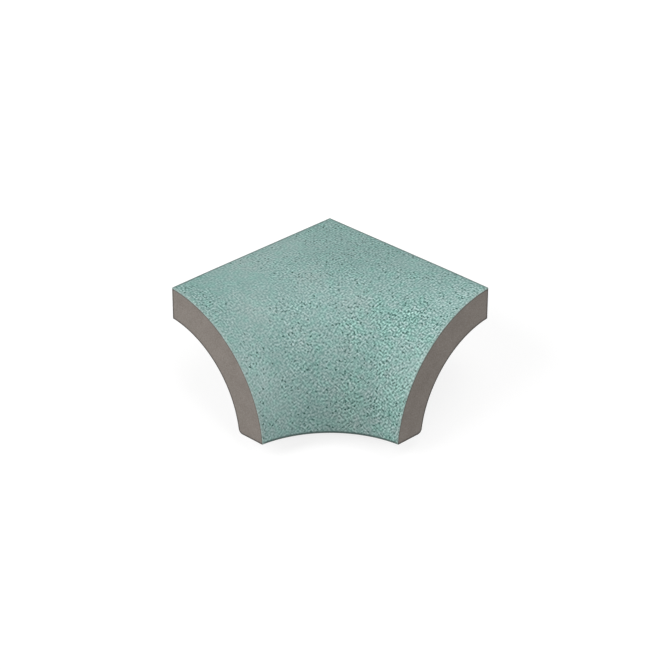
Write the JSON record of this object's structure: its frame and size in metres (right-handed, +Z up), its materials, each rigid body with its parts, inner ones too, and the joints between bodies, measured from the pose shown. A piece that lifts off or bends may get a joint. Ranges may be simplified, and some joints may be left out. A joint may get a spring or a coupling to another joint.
{
  "type": "pool corner trim tile",
  "caption": "Glazed trim tile that carries the rounded edge of a pool or step round an inside corner: a square of flat tile whose front rolls over and down to a curved foot.",
  "frame": {"origin": "on the floor, under the middle of the bounding box of the tile as it rests", "axes": "+Z up from the floor, +Y towards the rear corner, +X across the tile from its left end face to its right one; the tile leans back by 25.7 degrees, on its lower rear corner and the back edge of its foot"},
  "size_m": [0.0906, 0.0802, 0.0298],
  "materials": {
    "glaze": "satin sea-green glaze with a fine dark and light speckle, on the top, the rounded front and the small bevel at its foot",
    "fired_body": "bare warm grey fired body, matt, on the joint faces, the foot and the underside"
  },
  "bodies": {
    "root": {"corner_tile": "glaze"}
  },
  "joints": []
}
